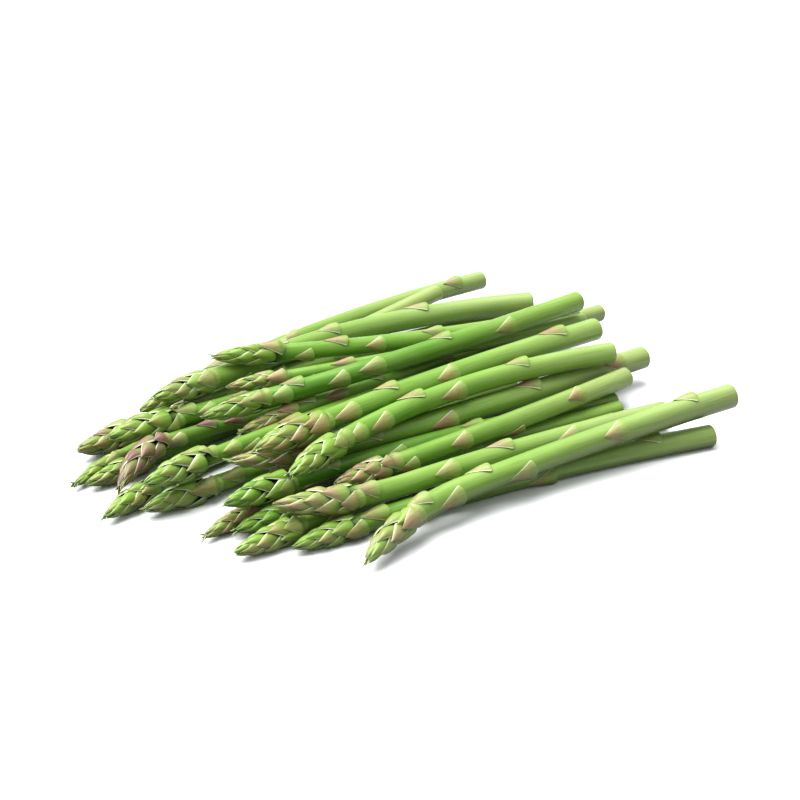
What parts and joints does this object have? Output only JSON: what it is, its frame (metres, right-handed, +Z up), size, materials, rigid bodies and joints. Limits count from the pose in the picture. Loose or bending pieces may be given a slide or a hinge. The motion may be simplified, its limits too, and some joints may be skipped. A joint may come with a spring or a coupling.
{
  "type": "bunch of asparagus",
  "caption": "Loose bunch of fresh green asparagus spears lying in a heap, scaly pointed tips to one side and cut butts to the other.",
  "frame": {"origin": "on the floor under the middle of the bunch's box", "axes": "+X along the spears from their tips towards their cut butts, +Z up, +Y towards the back of the bunch"},
  "size_m": [0.3096, 0.2038, 0.0368],
  "materials": {
    "green_spear": "smooth waxy green skin with yellow-green pointed scales",
    "pale_spear": "smooth waxy pale green skin, scales with pinkish points",
    "deep_green_spear": "smooth waxy deep green skin with green scales",
    "blushed_spear": "green skin, scales blushed with pink and brown",
    "purple_tipped_spear": "green skin, head scales dull purple-red"
  },
  "bodies": {
    "root": {"spear_01": "green_spear", "spear_02": "pale_spear", "spear_03": "green_spear", "spear_04": "deep_green_spear", "spear_05": "pale_spear", "spear_06": "pale_spear", "spear_07": "green_spear", "spear_08": "green_spear", "spear_09": "blushed_spear", "spear_10": "green_spear", "spear_11": "green_spear", "spear_12": "purple_tipped_spear", "spear_13": "green_spear", "spear_14": "blushed_spear", "spear_15": "green_spear", "spear_16": "blushed_spear", "spear_17": "green_spear", "spear_18": "deep_green_spear", "spear_19": "blushed_spear", "spear_20": "blushed_spear", "spear_21": "deep_green_spear", "spear_22": "pale_spear", "spear_23": "green_spear", "spear_24": "green_spear", "spear_25": "pale_spear", "spear_26": "green_spear"}
  },
  "joints": []
}
